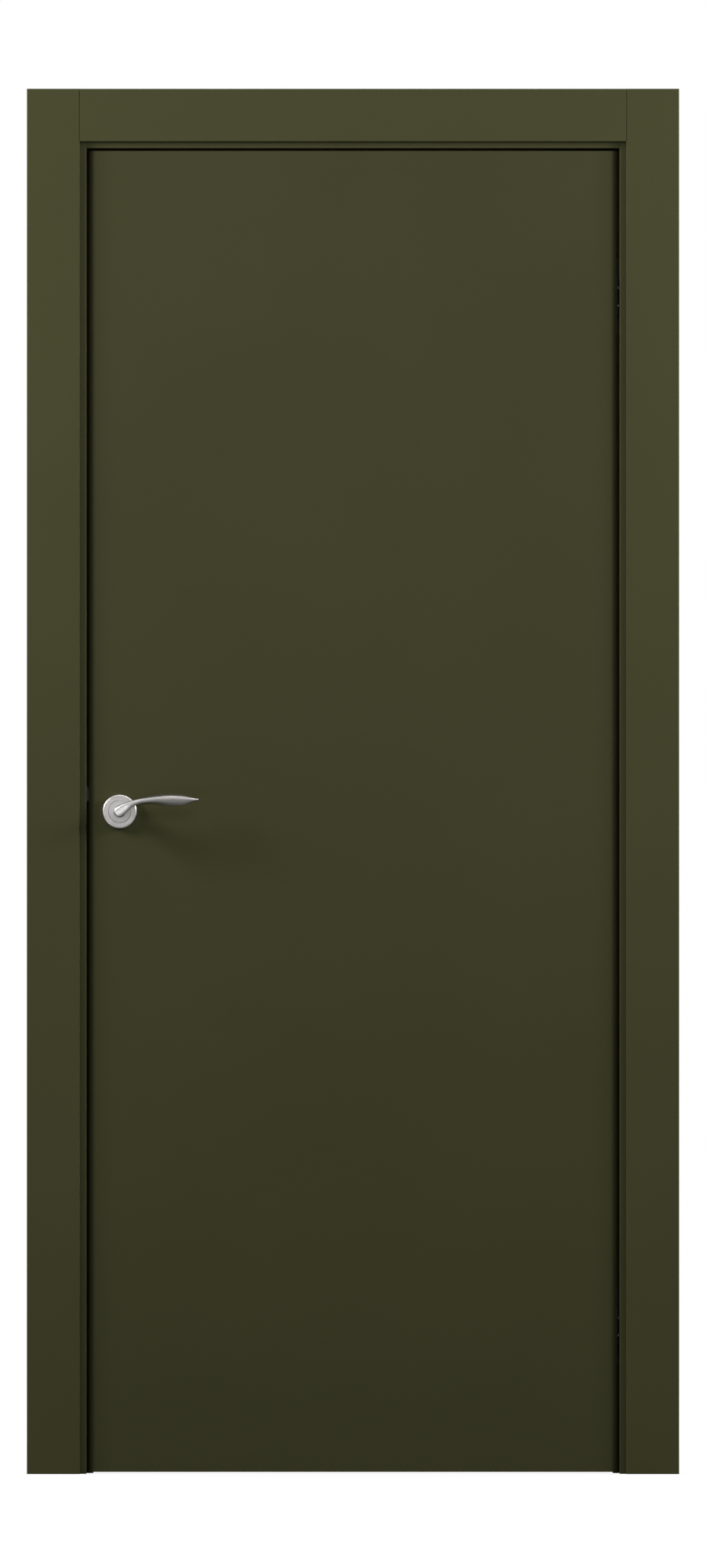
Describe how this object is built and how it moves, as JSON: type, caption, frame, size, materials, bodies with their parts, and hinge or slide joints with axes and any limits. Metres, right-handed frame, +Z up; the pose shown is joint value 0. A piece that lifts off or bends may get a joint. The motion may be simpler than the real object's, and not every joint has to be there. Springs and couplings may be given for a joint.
{
  "type": "interior door",
  "caption": "Plain flush interior door leaf in a rebated frame with flat casings, lever handles on round roses, a sprung latch and hidden hinges.",
  "frame": {"origin": "floor level, middle of the doorway, middle of the closed leaf's thickness, in metres", "axes": "+Z up; +X right as seen from the pull side, toward the hinges; -Y toward the pull side, where the leaf opens"},
  "size_m": [0.987, 0.153, 2.097],
  "materials": {
    "olive_lacquer": "matte",
    "pine": "matte",
    "tube_board": "matte",
    "seal_rubber": "matte",
    "satin_nickel": "satin",
    "plain_steel": "satin",
    "zinc_casting": "matte",
    "black_nylon": "matte"
  },
  "bodies": {
    "frame": {"jamb_left": "olive_lacquer", "jamb_right": "olive_lacquer", "jamb_head": "olive_lacquer", "frame_screws": "plain_steel", "casing_front_left": "olive_lacquer", "casing_front_right": "olive_lacquer", "casing_front_head": "olive_lacquer", "casing_rear_left": "olive_lacquer", "casing_rear_right": "olive_lacquer", "casing_rear_head": "olive_lacquer", "seal_left": "seal_rubber", "seal_right": "seal_rubber", "seal_head": "seal_rubber", "strike_plate": "satin_nickel", "strike_cup": "black_nylon", "strike_screws": "satin_nickel", "hinge_low_frame_body": "zinc_casting", "hinge_top_frame_body": "zinc_casting", "hinge_frame_pins": "plain_steel", "hinge_frame_screws": "plain_steel"},
    "leaf": {"leaf_skin_front": "olive_lacquer", "leaf_skin_rear": "olive_lacquer", "leaf_stile_latch": "pine", "leaf_stile_hinge": "pine", "leaf_rail_top": "pine", "leaf_rail_bottom": "pine", "leaf_lock_block": "pine", "leaf_core": "tube_board", "latch_case": "zinc_casting", "latch_cover": "plain_steel", "latch_face": "satin_nickel", "latch_screws": "satin_nickel", "latch_spring": "plain_steel", "front_rose_base": "zinc_casting", "front_rose_cover": "satin_nickel", "front_bush": "black_nylon", "front_rose_screws": "plain_steel", "rear_rose_base": "zinc_casting", "rear_rose_cover": "satin_nickel", "rear_bush": "black_nylon", "rear_rose_screws": "plain_steel", "hinge_low_leaf_body": "zinc_casting", "hinge_top_leaf_body": "zinc_casting", "hinge_leaf_pins": "plain_steel", "hinge_leaf_screws": "plain_steel"},
    "handle": {"latch_follower": "zinc_casting", "spindle": "plain_steel", "front_lever": "satin_nickel", "rear_lever": "satin_nickel", "grub_screws": "plain_steel"},
    "latch_bolt": {"latch_bolt": "black_nylon"},
    "low_frame_arm": {"hinge_low_frame_arm": "plain_steel", "hinge_low_cross_pin": "plain_steel"},
    "low_leaf_arm": {"hinge_low_leaf_arm": "plain_steel"},
    "top_frame_arm": {"hinge_top_frame_arm": "plain_steel", "hinge_top_cross_pin": "plain_steel"},
    "top_leaf_arm": {"hinge_top_leaf_arm": "plain_steel"}
  },
  "joints": [
    {"name": "leaf_swing", "type": "hinge", "parent": "frame", "child": "leaf", "pos_m": [0.40175, -0.02, 1.003], "axis": [0, 0, 1], "range_deg": [0, 105]},
    {"name": "handle_turn", "type": "hinge", "parent": "leaf", "child": "handle", "pos_m": [-0.353, 0, 1.003], "axis": [0, 1, 0], "range_deg": [0, 40], "stiffness_Nm_per_rad": 1.5, "springref_deg": -28.65},
    {"name": "bolt_slide", "type": "slide", "parent": "leaf", "child": "latch_bolt", "axis": [1, 0, 0], "range_m": [0, 0.012], "deforming": ["latch_spring"]},
    {"name": "low_frame_arm_turn", "type": "hinge", "parent": "frame", "child": "low_frame_arm", "pos_m": [0.40575, -0.008, 0.223], "axis": [0, 0, 1], "range_deg": [0, 105]},
    {"name": "low_leaf_arm_turn", "type": "hinge", "parent": "leaf", "child": "low_leaf_arm", "pos_m": [0.39775, -0.008, 0.223], "axis": [0, 0, 1], "range_deg": [-105, 0]},
    {"name": "top_frame_arm_turn", "type": "hinge", "parent": "frame", "child": "top_frame_arm", "pos_m": [0.40575, -0.008, 1.783], "axis": [0, 0, 1], "range_deg": [0, 105]},
    {"name": "top_leaf_arm_turn", "type": "hinge", "parent": "leaf", "child": "top_leaf_arm", "pos_m": [0.39775, -0.008, 1.783], "axis": [0, 0, 1], "range_deg": [-105, 0]}
  ],
  "couplings": [
    {"joint": "bolt_slide", "follows": "handle_turn", "m_per_rad": 0.017189},
    {"joint": "low_frame_arm_turn", "follows": "leaf_swing", "ratio": 1},
    {"joint": "low_leaf_arm_turn", "follows": "leaf_swing", "ratio": -1},
    {"joint": "top_frame_arm_turn", "follows": "leaf_swing", "ratio": 1},
    {"joint": "top_leaf_arm_turn", "follows": "leaf_swing", "ratio": -1}
  ]
}
